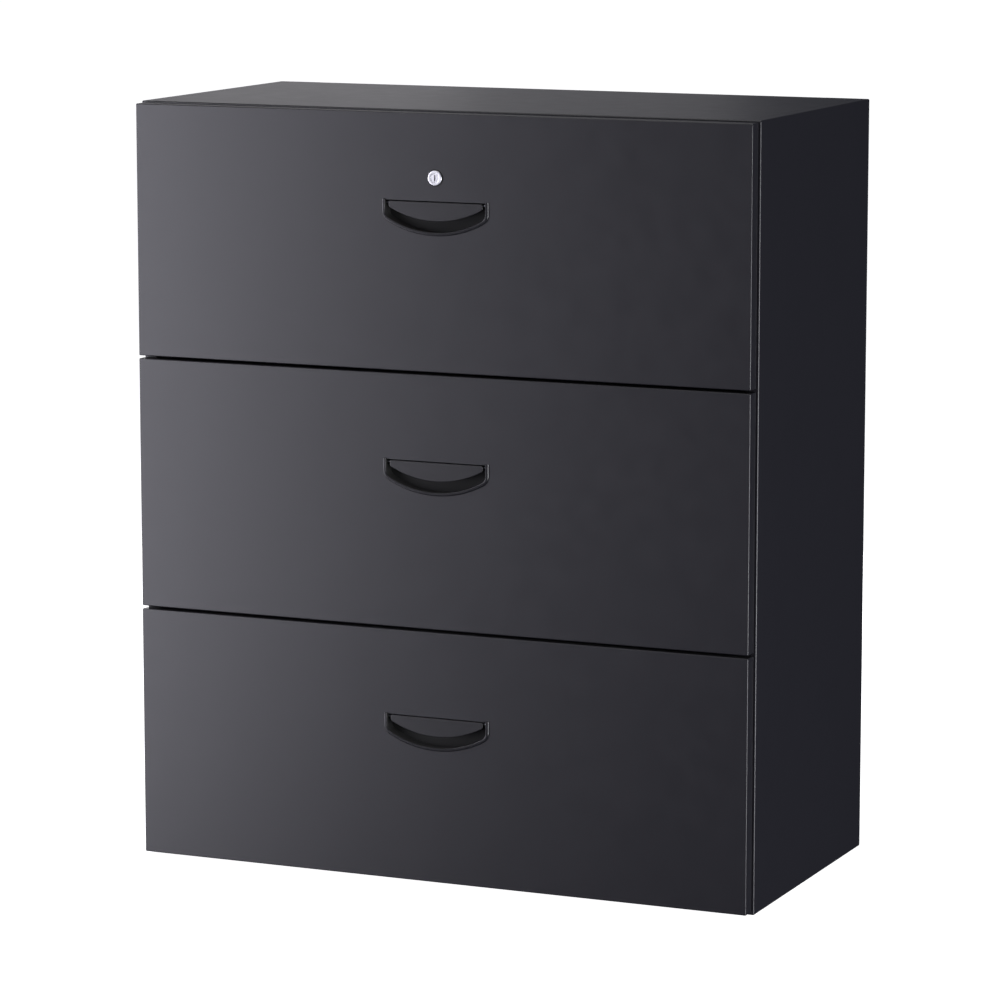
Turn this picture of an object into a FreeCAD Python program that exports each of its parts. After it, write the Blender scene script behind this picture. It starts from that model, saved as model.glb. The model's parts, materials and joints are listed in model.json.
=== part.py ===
import FreeCAD, Part
import math
import os
import re
import Sketcher

# A three-drawer lateral filing cabinet in folded sheet steel.
# Millimetres. X runs to the right, Y from the front to the back, Z up from the floor.
# The origin is on the floor, at the middle of the cabinet's width and overall depth.

doc = FreeCAD.newDocument("filing_cabinet")
sheet = doc.addObject("Spreadsheet::Sheet", "dims")
aliases = []
pieces = []

LEFT, RIGHT = -1, 1
SIDES = {"left": LEFT, "right": RIGHT}
LEVELS = ["lower", "middle", "upper"]
LOCK_LEVEL = LEVELS.index("upper")


def dimension(alias, value):
    """Write one driving dimension on the next row of the sheet."""
    aliases.append(alias)
    row = len(aliases)
    sheet.set(f"A{row}", alias)
    sheet.set(f"B{row}", str(value))
    sheet.setAlias(f"B{row}", alias)


# Case
dimension("case_width", 900)
dimension("case_depth", 427)
dimension("case_height", 1050)
dimension("gauge", 1)
dimension("bend", 2)
dimension("side_flange", 18)
dimension("panel_fold", 25)
dimension("seam", 0.5)
dimension("lip", 15)
dimension("lip_root", 4)
dimension("back_margin", 14)
dimension("back_side_gap", 4)
dimension("corner_plate_width", 45)
dimension("corner_plate_depth", 15)
dimension("corner_plate_gap", 0.4)
dimension("base_hole_radius", 5.5)
dimension("base_hole_spacing_across", 780)
dimension("base_hole_spacing_deep", 340)
dimension("wall_hole_radius", 4)
dimension("wall_hole_spacing", 600)
dimension("wall_hole_drop", 50)

# Uprights
dimension("upright_gauge", 1.5)
dimension("upright_width", 30)
dimension("upright_inset", 14)
dimension("rear_upright_inset", 30)
dimension("upright_end_gap", 5)
dimension("screw_inset", 21)
dimension("slot_inset", 5.5)
dimension("slot_height", 12)
dimension("slot_width", 4)
dimension("slot_pitch", 25)
dimension("slot_count", 40)

# Drawer fronts
dimension("front_width", 894)
dimension("front_height", 345)
dimension("front_thickness", 20)
dimension("front_standoff", 3)
dimension("front_gap", 4)
dimension("floor_gap", 4.5)
dimension("front_bend", 1.5)
dimension("liner_fold", 12)

# Drawer boxes
dimension("drawer_half_width", 412)
dimension("drawer_depth", 395)
dimension("drawer_rise", 24)
dimension("drawer_side_height", 255)
dimension("drawer_back_height", 200)
dimension("drawer_flange", 12)
dimension("bar_thickness", 2.5)
dimension("bar_height", 18)
dimension("bar_drop", 12)
dimension("bar_inset", 28)
dimension("bar_spacing", 330)

# Telescopic slides
dimension("slide_gauge", 1.5)
dimension("slide_rise", 60)
dimension("slide_pack", 19)
dimension("slide_channel", 8)
dimension("middle_channel", 13)
dimension("slide_half_height", 25)
dimension("slide_nest", 3)
dimension("outer_slide_length", 400)
dimension("middle_slide_length", 380)
dimension("inner_slide_length", 385)
dimension("slide_setback", 2)
dimension("screw_radius", 2.5)
dimension("screw_head_radius", 4)
dimension("screw_head_height", 1)
dimension("screw_length", 9)

# Recessed pull
dimension("pull_drop", 115.3)
dimension("pull_width", 155)
dimension("pull_height", 47.5)
dimension("pull_side", 25.2)
dimension("pull_corner", 6)
dimension("rim_width", 4.5)
dimension("rim_height", 2)
dimension("rim_round", 1.1)
dimension("cup_wall", 1.2)
dimension("cup_depth", 17.5)
dimension("cup_top_drop", 1)
dimension("cup_top_wall", 0.84)
dimension("mouth_depth", 3)
dimension("mouth_rise", 5)
dimension("paddle_width", 136.6)
dimension("paddle_drop", 2.6)
dimension("paddle_reach", 28)
dimension("paddle_arc", 141.6)
dimension("paddle_thickness", 3)
dimension("paddle_corner", 2)
dimension("paddle_round", 1)
dimension("pin_radius", 1.2)
dimension("pin_clearance", 0.05)
dimension("pin_drop", 5)
dimension("pin_depth", 4.4)
dimension("barrel_radius", 2.3)
dimension("barrel_inner", 50)
dimension("barrel_outer", 64)

# Latch
dimension("shaft_radius", 3)
dimension("shaft_rise", 12)
dimension("shaft_depth", 12)
dimension("shaft_half_length", 424)
dimension("hook_inner", 420)
dimension("hook_thickness", 3)
dimension("hook_half_height", 3.5)
dimension("hook_reach", 41)
dimension("nose_length", 6)
dimension("nose_drop", 7)
dimension("hook_side_gap", 1.5)
dimension("strike_gap", 0.6)
dimension("strike_overhang", 2.5)
dimension("strike_length", 8)
dimension("strike_height", 9)
dimension("lever_half_width", 6)
dimension("lever_drop", 11.5)
dimension("spring_wire_radius", 0.5)
dimension("spring_coil_radius", 4.4)
dimension("spring_pitch", 1.3)
dimension("spring_turns", 7)
dimension("spring_place", 90)

# Lock
dimension("lock_drop", 85.5)
dimension("bezel_radius", 10)
dimension("bezel_height", 2)
dimension("bezel_round", 0.7)
dimension("lock_barrel_radius", 9)
dimension("lock_barrel_depth", 12)
dimension("plug_radius", 6)
dimension("plug_recess", 0.5)
dimension("keyway_width", 1.6)
dimension("keyway_height", 8)
dimension("keyway_depth", 8)
dimension("cam_radius", 7)
dimension("cam_reach", 13)
dimension("cam_thickness", 2)
dimension("rod_thickness", 2)
dimension("rod_gap", 0.5)
dimension("rod_start", 3)
dimension("rod_lift", 4)
dimension("rod_height", 8)
dimension("tongue_inner", 413)
dimension("tongue_width", 5)
dimension("tongue_reach", 15)
dimension("rod_travel", 8)
dimension("bar_flat_inner", 436)
dimension("bar_flat_width", 10)
dimension("bar_flat_thickness", 3)
dimension("bar_flat_setback", 3)
dimension("bar_end_gap", 12)
dimension("finger_inner", 419.5)
dimension("finger_thickness", 4)
dimension("finger_drop", 22)
dimension("lock_bar_travel", 10.5)

# Places that several pieces share, worked out from the driving dimensions.
CASE_FRONT = "((front_standoff + front_thickness + rim_height - case_depth) / 2)"
CASE_BACK = f"({CASE_FRONT} + case_depth)"
FRONT_BACK = f"({CASE_FRONT} - front_standoff)"
FACE = f"({FRONT_BACK} - front_thickness)"
HALF_CASE = "(case_width / 2)"
FLANGE_EDGE = f"({HALF_CASE} - side_flange)"
PANEL_EDGE = f"({FLANGE_EDGE} - seam)"
UPRIGHT_FACE = "(drawer_half_width + slide_pack)"
DRAWER_BACK = f"({FRONT_BACK} + drawer_depth)"
SHAFT_Y = f"({FACE} + shaft_depth)"
PIN_Y = f"({FACE} + pin_depth)"
PIN_LENGTH = "(pull_width - 2 * rim_width + cup_wall)"
ROD_Y = f"({FACE} + lock_barrel_depth + gauge + cam_thickness + rod_gap)"

# The pull's lower edge is a shallow arc; its inner edge is the same arc, offset by the rim.
PULL_SAG = "(pull_height - pull_side)"
PULL_ARC = f"((pull_width ^ 2 / 4 + {PULL_SAG} ^ 2) / (2 * {PULL_SAG}))"
SKETCH_RISE = 10


def front_bottom(level):
    """Height of a drawer front's lower edge."""
    return f"(floor_gap + {level} * (front_height + front_gap))"


def pull_top(level):
    """Height of a pull's upper edge."""
    return f"({front_bottom(level)} + front_height - pull_drop)"


def shaft_z(level):
    """Height of a latch shaft's axis."""
    return f"({pull_top(level)} + shaft_rise)"


def slide_z(level):
    """Height of the middle of a drawer's slides."""
    return f"({front_bottom(level)} + drawer_rise + slide_rise)"


def lock_z():
    """Height of the lock's axis."""
    return f"({front_bottom(LOCK_LEVEL)} + front_height - lock_drop)"


def swap_words(text, swap):
    """Replace each alias in a formula with what swap(alias) gives."""
    return re.sub(r"[a-z_]+", lambda word: swap(word[0]) if word[0] in aliases else word[0], text)


def formula(text):
    """Turn the aliases in a formula into references to the sheet."""
    return swap_words(text, lambda alias: f"dims.{alias}")


def value(text):
    """The number that a formula gives, for choosing edges by their place."""
    numbers = swap_words(text, lambda alias: str(float(sheet.get(alias))))
    return FreeCAD.Units.Quantity(numbers).Value


def bind(item, prop, text):
    item.setExpression(prop, formula(text))


def span(side, inner, outer):
    """An X range between two distances from the middle, on one side of the cabinet."""
    if side == RIGHT:
        return (inner, outer)
    return (f"-({outer})", f"-({inner})")


def both_sides(half):
    return (f"-({half})", half)


def around(middle, half):
    return (f"{middle} - {half}", f"{middle} + {half}")


def new_body(label):
    body = doc.addObject("PartDesign::Body", label)
    body.Label = label
    body.AllowCompound = True
    return body


def box(kind, body, name, across, deep, high):
    """Add or cut a box that fills three ranges, each a pair of formulas."""
    feature = body.newObject(f"PartDesign::{kind}Box", name)
    for prop, axis, (low, high_end) in zip(("Length", "Width", "Height"), "xyz", (across, deep, high)):
        bind(feature, prop, f"({high_end}) - ({low})")
        bind(feature, f"Placement.Base.{axis}", low)
    return feature


def add_box(body, name, across, deep, high):
    return box("Additive", body, name, across, deep, high)


def cut_box(body, name, across, deep, high):
    return box("Subtractive", body, name, across, deep, high)


AXIS_TURNS = {
    "x": FreeCAD.Rotation(FreeCAD.Vector(0, 1, 0), 90),
    "y": FreeCAD.Rotation(FreeCAD.Vector(1, 0, 0), -90),
    "z": FreeCAD.Rotation(),
}


def cylinder(kind, body, name, axis, radius, length, start):
    """Add or cut a cylinder that runs from a start point along +X, +Y or +Z."""
    feature = body.newObject(f"PartDesign::{kind}Cylinder", name)
    feature.Placement = FreeCAD.Placement(FreeCAD.Vector(), AXIS_TURNS[axis])
    bind(feature, "Radius", radius)
    bind(feature, "Height", length)
    for base_axis, place in zip("xyz", start):
        bind(feature, f"Placement.Base.{base_axis}", place)
    return feature


def add_cylinder(body, name, axis, radius, length, start):
    return cylinder("Additive", body, name, axis, radius, length, start)


def cut_cylinder(body, name, axis, radius, length, start):
    return cylinder("Subtractive", body, name, axis, radius, length, start)


CLOSE = 0.001


def round_edges(body, name, radius, wanted):
    """Fillet the body's edges for which wanted(edge) is true."""
    doc.recompute()
    base = body.Tip
    names = [f"Edge{n + 1}" for n, edge in enumerate(base.Shape.Edges) if wanted(edge)]
    feature = body.newObject("PartDesign::Fillet", name)
    feature.Base = (base, names)
    bind(feature, "Radius", radius)
    return feature


def lies_at(edge, axis, place):
    """True if the whole edge lies at one place along an axis."""
    return all(abs(getattr(vertex.Point, axis) - place) < CLOSE for vertex in edge.Vertexes)


def runs_along(edge, axis):
    ends = [vertex.Point for vertex in edge.Vertexes]
    if len(ends) < 2:
        return False
    step = ends[1] - ends[0]
    return abs(abs(getattr(step, axis)) - step.Length) < CLOSE


def node(label, members):
    """Register a sub-part: one piece, or several alike pieces that share a node."""
    if len(members) == 1:
        pieces.append(members[0])
        return
    group = doc.addObject("Part::Compound", label)
    group.Label = label
    group.Links = members
    pieces.append(group)


def origin_plane(body, role):
    return next(item for item in body.Origin.OriginFeatures if item.Role == role)


def front_sketch(body, name, depth, height):
    """A sketch facing the front: its X is the cabinet's X and its Y is the cabinet's Z."""
    sketch = body.newObject("Sketcher::SketchObject", name)
    sketch.AttachmentSupport = [(origin_plane(body, "XZ_Plane"), "")]
    sketch.MapMode = "FlatFace"
    bind(sketch, "AttachmentOffset.Base.y", height)
    bind(sketch, "AttachmentOffset.Base.z", f"-({depth})")
    return sketch


def half_moon(sketch, width, top, bottom, radius):
    """Draw a D on its back: a straight top, upright sides and a shallow arc below.

    top and bottom are distances below the sketch's origin; radius is the arc's.
    """
    wide, high, low, bow = (value(text) for text in (width, top, bottom, radius))
    middle = FreeCAD.Vector(0, bow - low, 0)
    reach = math.acos(wide / 2 / bow)
    side_end = middle.y - bow * math.sin(reach)
    right_top, left_top = FreeCAD.Vector(wide / 2, -high, 0), FreeCAD.Vector(-wide / 2, -high, 0)
    right_low, left_low = FreeCAD.Vector(wide / 2, side_end, 0), FreeCAD.Vector(-wide / 2, side_end, 0)
    circle = Part.Circle(middle, FreeCAD.Vector(0, 0, 1), bow)
    sketch.addGeometry(Part.LineSegment(left_top, right_top))
    sketch.addGeometry(Part.LineSegment(right_top, right_low))
    sketch.addGeometry(Part.ArcOfCircle(circle, math.pi + reach, 2 * math.pi - reach))
    sketch.addGeometry(Part.LineSegment(left_low, left_top))
    top_line, right_line, arc, left_line = range(4)
    start, end, centre = 1, 2, 3
    origin_point, vertical_axis = (-1, 1), -2
    joins = [(top_line, end, right_line, start), (right_line, end, arc, end),
             (arc, start, left_line, start), (left_line, end, top_line, start)]
    for join in joins:
        sketch.addConstraint(Sketcher.Constraint("Coincident", *join))
    sketch.addConstraint(Sketcher.Constraint("Vertical", right_line))
    sketch.addConstraint(Sketcher.Constraint("Vertical", left_line))
    sketch.addConstraint(Sketcher.Constraint("PointOnObject", arc, centre, vertical_axis))
    sketch.addConstraint(
        Sketcher.Constraint("Symmetric", top_line, start, top_line, end, vertical_axis))
    driven = [
        (Sketcher.Constraint("DistanceX", top_line, start, top_line, end, wide), width),
        (Sketcher.Constraint("DistanceY", top_line, start, *origin_point, high), top),
        (Sketcher.Constraint("Radius", arc, bow), radius),
        (Sketcher.Constraint("DistanceY", *origin_point, arc, centre, middle.y), f"({radius}) - ({bottom})"),
    ]
    for constraint, text in driven:
        index = sketch.addConstraint(constraint)
        bind(sketch, f"Constraints[{index}]", text)


def moon_plate(body, name, height, shape, deep):
    """Pad a half-moon sketch over a depth range."""
    near, far = deep
    sketch = front_sketch(body, f"{name}_sketch", far, f"{height} + {SKETCH_RISE}")
    half_moon(sketch, *shape)
    pad = body.newObject("PartDesign::Pad", name)
    pad.Profile = sketch
    bind(pad, "Length", f"({far}) - ({near})")
    return pad


def moon_hole(body, name, height, shape, deep):
    """Pocket a half-moon sketch over a depth range."""
    near, far = deep
    doc.recompute()
    before = body.Shape.Volume
    sketch = front_sketch(body, f"{name}_sketch", near, f"{height} + {SKETCH_RISE}")
    half_moon(sketch, *shape)
    pocket = body.newObject("PartDesign::Pocket", name)
    pocket.Profile = sketch
    bind(pocket, "Length", f"({far}) - ({near})")
    doc.recompute()
    if body.Shape.Volume >= before:
        raise RuntimeError(f"{name} cuts nothing")
    return pocket


def moon_shape(offset, top):
    """The pull's outline, offset inwards, with its top at a distance below the pull's top."""
    width = f"(pull_width - 2 * ({offset}))"
    bottom = f"({SKETCH_RISE} + pull_height - ({offset}))"
    return (width, f"({SKETCH_RISE} + {top})", bottom, f"({PULL_ARC} - ({offset}))")


# ---------------------------------------------------------------- case


def side_panel(name, side):
    """A folded pan: outer skin with four flanges turned in."""
    body = new_body(f"side_panel_{name}")
    add_box(body, f"side_blank_{name}", span(side, FLANGE_EDGE, HALF_CASE), (CASE_FRONT, CASE_BACK),
            ("0", "case_height"))
    skin = side * value(HALF_CASE)
    round_edges(body, f"side_bends_{name}", "bend",
                lambda edge: lies_at(edge, "x", skin) or runs_along(edge, "x"))
    cut_box(body, f"side_hollow_{name}", span(side, FLANGE_EDGE, f"{HALF_CASE} - gauge"),
            (f"{CASE_FRONT} + gauge", f"{CASE_BACK} - gauge"), ("gauge", "case_height - gauge"))
    node(body.Label, [body])


def lipped_panel(label, outer_z, fold_z, inner_z, lip_z):
    """A horizontal case panel: front and rear folds, and joggled lips under the side flanges."""
    body = new_body(label)
    width = both_sides(PANEL_EDGE)
    folded = sorted((outer_z, fold_z), key=value)
    add_box(body, f"{label}_blank", width, (CASE_FRONT, CASE_BACK), folded)
    skin = value(outer_z)
    round_edges(body, f"{label}_bends", "bend",
                lambda edge: lies_at(edge, "z", skin) and runs_along(edge, "x"))
    cut_box(body, f"{label}_hollow", width, (f"{CASE_FRONT} + gauge", f"{CASE_BACK} - gauge"),
            sorted((inner_z, fold_z), key=value))
    for name, side in SIDES.items():
        add_box(body, f"{label}_lip_{name}", span(side, f"{FLANGE_EDGE} - lip_root", f"{FLANGE_EDGE} + lip"),
                (f"{CASE_FRONT} + 2 * gauge", f"{CASE_BACK} - 2 * gauge"),
                sorted((inner_z, lip_z), key=value))
    return body


def top_panel():
    """The top, notched at the rear corners, where a tab under each notch carries a plate."""
    body = lipped_panel("top_panel", "case_height", "case_height - panel_fold",
                        "case_height - gauge", "case_height - 2 * gauge")
    for name, side in SIDES.items():
        cut_box(body, f"top_notch_{name}", span(side, f"{PANEL_EDGE} - corner_plate_width", FLANGE_EDGE),
                (f"{CASE_BACK} - corner_plate_depth", CASE_BACK), ("case_height - gauge", "case_height"))
        add_box(body, f"top_tab_{name}",
                span(side, f"{PANEL_EDGE} - corner_plate_width - lip", f"{PANEL_EDGE} - 2 * gauge"),
                (f"{CASE_BACK} - corner_plate_depth - lip", f"{CASE_BACK} - gauge"),
                ("case_height - 2 * gauge", "case_height - gauge"))
    node(body.Label, [body])


def corner_plates():
    plates = []
    for name, side in SIDES.items():
        body = new_body(f"corner_plate_{name}")
        add_box(body, f"corner_plate_blank_{name}",
                span(side, f"{PANEL_EDGE} - corner_plate_width + corner_plate_gap", PANEL_EDGE),
                (f"{CASE_BACK} - corner_plate_depth + corner_plate_gap", f"{CASE_BACK} - gauge"),
                ("case_height - gauge", "case_height"))
        plates.append(body)
    node("corner_plates", plates)


def bottom_panel():
    """The bottom, with four holes for levelling feet, a plinth or another case."""
    body = lipped_panel("bottom_panel", "0", "panel_fold", "gauge", "2 * gauge")
    middle = f"({CASE_FRONT} + case_depth / 2)"
    for name, side in SIDES.items():
        for row, toward in {"front": -1, "rear": 1}.items():
            cut_cylinder(body, f"base_hole_{row}_{name}", "z", "base_hole_radius", "3 * gauge",
                         (f"{side} * base_hole_spacing_across / 2",
                          f"{middle} + {toward} * base_hole_spacing_deep / 2", "-gauge"))
    node(body.Label, [body])


def back_panel():
    """A flat sheet inside the rear flanges, with two holes for fixing the cabinet to a wall."""
    body = new_body("back_panel")
    deep = (f"{CASE_BACK} - 2 * gauge", f"{CASE_BACK} - gauge")
    add_box(body, "back_blank", both_sides(f"{HALF_CASE} - back_side_gap"), deep,
            ("back_margin", "case_height - back_margin"))
    for name, side in SIDES.items():
        cut_cylinder(body, f"wall_hole_{name}", "y", "wall_hole_radius", "4 * gauge",
                     (f"{side} * wall_hole_spacing / 2", f"{CASE_BACK} - 3 * gauge",
                      "case_height - wall_hole_drop"))
    node(body.Label, [body])


def uprights(row, near):
    """Slotted channels that stand inside the side panels and carry the slides."""
    pair = []
    for name, side in SIDES.items():
        body = new_body(f"{row}_upright_{name}")
        far = f"{near} + upright_width"
        high = ("upright_end_gap", "case_height - upright_end_gap")
        outside = f"{HALF_CASE} - gauge"
        add_box(body, f"{row}_channel_{name}", span(side, UPRIGHT_FACE, outside), (near, far), high)
        cut_box(body, f"{row}_channel_hollow_{name}",
                span(side, f"{UPRIGHT_FACE} + upright_gauge", outside),
                (f"{near} + upright_gauge", f"{far} - upright_gauge"), high)
        slot_near = f"{near} + slot_inset"
        slot = cut_box(body, f"{row}_slot_{name}",
                       span(side, UPRIGHT_FACE, f"{UPRIGHT_FACE} + upright_gauge"),
                       (slot_near, f"{slot_near} + slot_width"),
                       ("upright_end_gap + slot_pitch", "upright_end_gap + slot_pitch + slot_height"))
        pattern = body.newObject("PartDesign::LinearPattern", f"{row}_slots_{name}")
        pattern.Originals = [slot]
        pattern.Direction = (origin_plane(body, "Z_Axis"), [""])
        bind(pattern, "Length", "slot_pitch * (slot_count - 1)")
        bind(pattern, "Occurrences", "slot_count")
        body.Tip = pattern
        for level, level_name in enumerate(LEVELS):
            cut_cylinder(body, f"{row}_screw_hole_{level_name}_{name}", "x", "screw_radius",
                         "3 * upright_gauge",
                         (f"{side} * ({UPRIGHT_FACE} + upright_gauge / 2) - 1.5 * upright_gauge",
                          f"{near} + screw_inset", slide_z(level)))
        pair.append(body)
    node(f"{row}_uprights", pair)


FRONT_UPRIGHT = f"({CASE_FRONT} + upright_inset)"
REAR_UPRIGHT = f"({CASE_BACK} - rear_upright_inset - upright_width)"


# ---------------------------------------------------------------- slides


def channel(body, name, side, inner, outer, deep, half_height, level, open_outward):
    """A slide member: a C-shaped channel, open towards or away from the side of the cabinet."""
    middle = slide_z(level)
    add_box(body, name, span(side, inner, outer), deep, around(middle, half_height))
    hollow = (f"{inner} + slide_gauge", outer) if open_outward else (inner, f"{outer} - slide_gauge")
    cut_box(body, f"{name}_hollow", span(side, *hollow), deep,
            around(middle, f"({half_height} - slide_gauge)"))


def slides(level_name, level):
    start = f"({CASE_FRONT} + slide_setback)"
    outer_pair, middle_pair, inner_pair = [], [], []
    for name, side in SIDES.items():
        tag = f"{level_name}_{name}"
        outer = new_body(f"outer_slide_{tag}")
        channel(outer, f"outer_channel_{tag}", side, f"{UPRIGHT_FACE} - slide_channel", UPRIGHT_FACE,
                (start, f"{start} + outer_slide_length"), "slide_half_height", level, False)
        for row, near in {"front": FRONT_UPRIGHT, "rear": REAR_UPRIGHT}.items():
            cut_cylinder(outer, f"slide_hole_{row}_{tag}", "x", "screw_radius", "3 * slide_gauge",
                         (f"{side} * ({UPRIGHT_FACE} - slide_gauge / 2) - 1.5 * slide_gauge",
                          f"{near} + screw_inset", slide_z(level)))
        outer_pair.append(outer)
        middle = new_body(f"middle_slide_{tag}")
        middle_face = f"{UPRIGHT_FACE} - 2 * slide_gauge"
        middle_start = f"({start} + slide_setback)"
        channel(middle, f"middle_channel_{tag}", side, f"{middle_face} - middle_channel", middle_face,
                (middle_start, f"{middle_start} + middle_slide_length"), "(slide_half_height - slide_nest)",
                level, False)
        middle_pair.append(middle)
        inner = new_body(f"inner_slide_{tag}")
        inner_start = f"({FRONT_BACK} + gauge)"
        channel(inner, f"inner_channel_{tag}", side, "drawer_half_width",
                "drawer_half_width + slide_channel",
                (inner_start, f"{inner_start} + inner_slide_length"), "(slide_half_height - 2 * slide_nest)",
                level, True)
        inner_pair.append(inner)
    node(f"outer_slides_{level_name}", outer_pair)
    node(f"middle_slides_{level_name}", middle_pair)
    node(f"inner_slides_{level_name}", inner_pair)


def slide_screws():
    """Low-headed screws that hold the outer slides to the uprights."""
    screws = []
    for name, side in SIDES.items():
        for level, level_name in enumerate(LEVELS):
            for row, near in {"front": FRONT_UPRIGHT, "rear": REAR_UPRIGHT}.items():
                tag = f"{row}_{level_name}_{name}"
                body = new_body(f"slide_screw_{tag}")
                web = f"({UPRIGHT_FACE} - slide_gauge)"
                place = (f"{near} + screw_inset", slide_z(level))
                head = span(side, f"{web} - screw_head_height", web)
                shank = span(side, web, f"{web} + screw_length")
                add_cylinder(body, f"screw_head_{tag}", "x", "screw_head_radius", "screw_head_height",
                             (head[0], *place))
                add_cylinder(body, f"screw_shank_{tag}", "x", "screw_radius", "screw_length",
                             (shank[0], *place))
                screws.append(body)
    node("slide_screws", screws)


# ---------------------------------------------------------------- drawers


def drawer_front(level_name, level):
    """The outer pan: flat face, four edges turned back, a half-moon hole for the pull."""
    body = new_body(f"drawer_front_{level_name}")
    low, high = front_bottom(level), f"{front_bottom(level)} + front_height"
    add_box(body, f"front_blank_{level_name}", both_sides("front_width / 2"), (FACE, FRONT_BACK),
            (low, high))
    face = value(FACE)
    round_edges(body, f"front_bends_{level_name}", "front_bend",
                lambda edge: lies_at(edge, "y", face) or runs_along(edge, "y"))
    cut_box(body, f"front_hollow_{level_name}", both_sides("front_width / 2 - gauge"),
            (f"{FACE} + gauge", FRONT_BACK), (f"{low} + gauge", f"{high} - gauge"))
    moon_hole(body, f"pull_hole_{level_name}", pull_top(level),
              moon_shape("rim_width - cup_wall", "cup_top_drop"), (FACE, f"{FACE} + 2 * gauge"))
    if level == LOCK_LEVEL:
        cut_cylinder(body, "lock_hole", "y", "lock_barrel_radius", "4 * gauge",
                     ("0", f"{FACE} - gauge", lock_z()))
    node(body.Label, [body])


def front_liner(level_name, level):
    """The inner pan that closes the front, with slots for the latch hooks and the lock rod."""
    body = new_body(f"front_liner_{level_name}")
    low, high = front_bottom(level), f"{front_bottom(level)} + front_height"
    near = f"{FRONT_BACK} - liner_fold"
    add_box(body, f"liner_blank_{level_name}", both_sides("front_width / 2 - gauge"), (near, FRONT_BACK),
            (f"{low} + gauge", f"{high} - gauge"))
    cut_box(body, f"liner_hollow_{level_name}", both_sides("front_width / 2 - 2 * gauge"),
            (near, f"{FRONT_BACK} - gauge"), (f"{low} + 2 * gauge", f"{high} - 2 * gauge"))
    through = (f"{FRONT_BACK} - 2 * gauge", f"{FRONT_BACK} + gauge")
    for name, side in SIDES.items():
        cut_box(body, f"hook_slot_{level_name}_{name}",
                span(side, "hook_inner - hook_side_gap", "hook_inner + hook_thickness + hook_side_gap"),
                through,
                (f"{shaft_z(level)} - 2 * hook_half_height", f"{shaft_z(level)} + 3 * hook_half_height"))
    if level == LOCK_LEVEL:
        rod_low = f"({lock_z()} + rod_lift)"
        cut_box(body, "rod_slot",
                ("tongue_inner - gauge", "tongue_inner + tongue_width + rod_travel + gauge"), through,
                (f"{rod_low} - gauge", f"{rod_low} + rod_height + gauge"))
    node(body.Label, [body])


def drawer_box(level_name, level):
    """Two folded sides, a bottom on their lower flanges, a back, and the bars that carry hanging files."""
    floor = f"({front_bottom(level)} + drawer_rise)"
    top = f"({floor} + drawer_side_height)"
    inside = "(drawer_half_width - gauge)"
    for name, side in SIDES.items():
        body = new_body(f"drawer_side_{level_name}_{name}")
        add_box(body, f"side_blank_{level_name}_{name}",
                span(side, "drawer_half_width - drawer_flange", "drawer_half_width"),
                (FRONT_BACK, DRAWER_BACK), (floor, top))
        cut_box(body, f"side_hollow_{level_name}_{name}",
                span(side, "drawer_half_width - drawer_flange", inside),
                (FRONT_BACK, DRAWER_BACK), (f"{floor} + gauge", f"{top} - gauge"))
        node(body.Label, [body])
    bottom = new_body(f"drawer_bottom_{level_name}")
    add_box(bottom, f"bottom_blank_{level_name}", both_sides(inside),
            (FRONT_BACK, f"{DRAWER_BACK} - gauge"), (f"{floor} + gauge", f"{floor} + 2 * gauge"))
    node(bottom.Label, [bottom])
    back = new_body(f"drawer_back_{level_name}")
    back_top = f"{floor} + drawer_back_height"
    add_box(back, f"back_wall_{level_name}", both_sides(inside), (f"{DRAWER_BACK} - gauge", DRAWER_BACK),
            (f"{floor} + gauge", back_top))
    add_box(back, f"back_fold_{level_name}", both_sides(f"{inside} - gauge"),
            (f"{DRAWER_BACK} - drawer_flange", DRAWER_BACK), (f"{back_top} - gauge", back_top))
    node(back.Label, [back])
    bars = []
    for row, place in {"front": "bar_inset", "rear": "bar_inset + bar_spacing"}.items():
        bar = new_body(f"hanging_bar_{level_name}_{row}")
        add_box(bar, f"bar_strip_{level_name}_{row}", both_sides(inside),
                around(f"{FRONT_BACK} + {place}", "bar_thickness / 2"),
                (f"{top} - bar_drop - bar_height", f"{top} - bar_drop"))
        bars.append(bar)
    node(f"hanging_bars_{level_name}", bars)


def handle_housing(level_name, level):
    """A moulded cup behind the front with a raised rim round its sides and bottom, open at the top."""
    body = new_body(f"handle_housing_{level_name}")
    height = pull_top(level)
    cup_back = f"({FACE} + cup_depth)"
    moon_plate(body, f"rim_{level_name}", height, moon_shape("0", "0"), (f"{FACE} - rim_height", FACE))
    moon_plate(body, f"cup_{level_name}", height, moon_shape("rim_width - cup_wall", "cup_top_drop"),
               (FACE, cup_back))
    side_middle = value(f"{height} - pull_side / 2")
    round_edges(body, f"rim_corners_{level_name}", "pull_corner",
                lambda edge: runs_along(edge, "y") and edge.Vertexes[0].Point.z < side_middle)
    rim_face = value(f"{FACE} - rim_height")
    rim_top = value(height)
    round_edges(body, f"rim_round_{level_name}", "rim_round",
                lambda edge: lies_at(edge, "y", rim_face) and not lies_at(edge, "z", rim_top))
    moon_hole(body, f"mouth_{level_name}", height, moon_shape("rim_width", "0 - mouth_rise"),
              (f"{FACE} - rim_height", f"{FACE} + mouth_depth"))
    moon_hole(body, f"recess_{level_name}", height, moon_shape("rim_width", "cup_top_drop + cup_top_wall"),
              (f"{FACE} + mouth_depth", f"{cup_back} - cup_wall"))
    cut_cylinder(body, f"pin_seat_{level_name}", "x", "pin_radius", PIN_LENGTH,
                 (f"-{PIN_LENGTH} / 2", PIN_Y, f"{height} - pin_drop"))
    node(body.Label, [body])


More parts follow.
